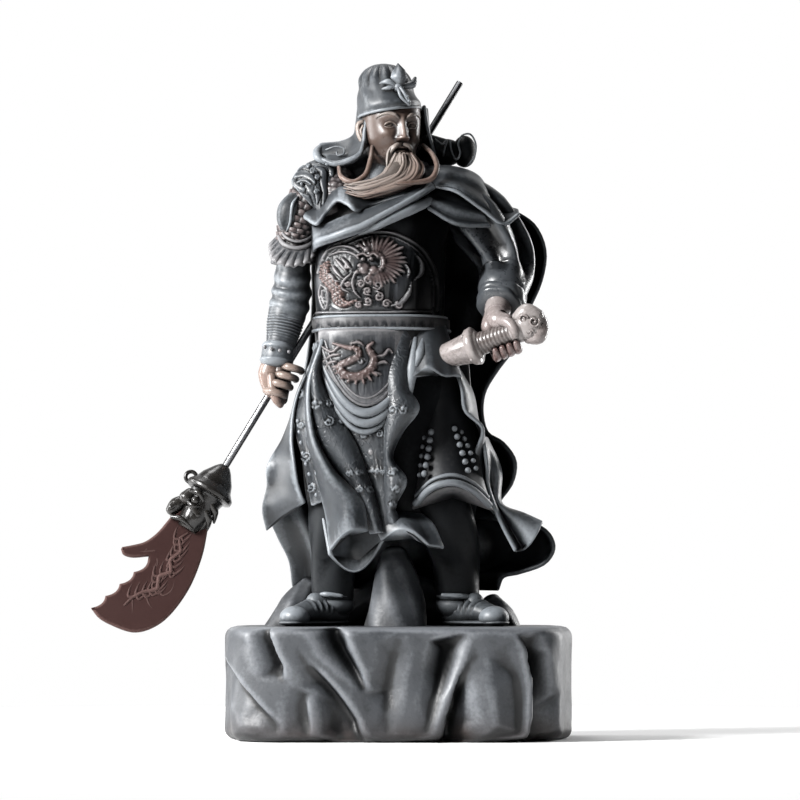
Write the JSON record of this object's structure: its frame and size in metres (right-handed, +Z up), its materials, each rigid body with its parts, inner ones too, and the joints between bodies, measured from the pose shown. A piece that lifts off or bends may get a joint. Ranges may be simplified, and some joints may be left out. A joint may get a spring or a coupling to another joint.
{
  "type": "warrior statue",
  "caption": "Cast figurine of a bearded warrior in robe and armour on a rock base, with a hand on a sword hilt and a separate long polearm through the other fist.",
  "frame": {"origin": "middle of the rock base's flat underside", "axes": "+Z up through the figure, the figure faces -Y, +X to the side of the hand on the sword"},
  "size_m": [0.2675, 0.134, 0.3771],
  "materials": {
    "figure": "charcoal satin glaze, lighter rubbed edges, bronze brown face, hands and beard",
    "rock_base": "charcoal satin glaze with a brown tint along the lower edge",
    "polearm_shaft": "bright polished rod",
    "polearm_dragon_socket": "gloss black",
    "polearm_blade": "matte reddish brown with a dragon in relief"
  },
  "bodies": {
    "root": {"figure": "figure", "rock_base": "rock_base", "polearm_shaft": "polearm_shaft", "polearm_dragon_socket": "polearm_dragon_socket", "polearm_blade": "polearm_blade"}
  },
  "joints": []
}
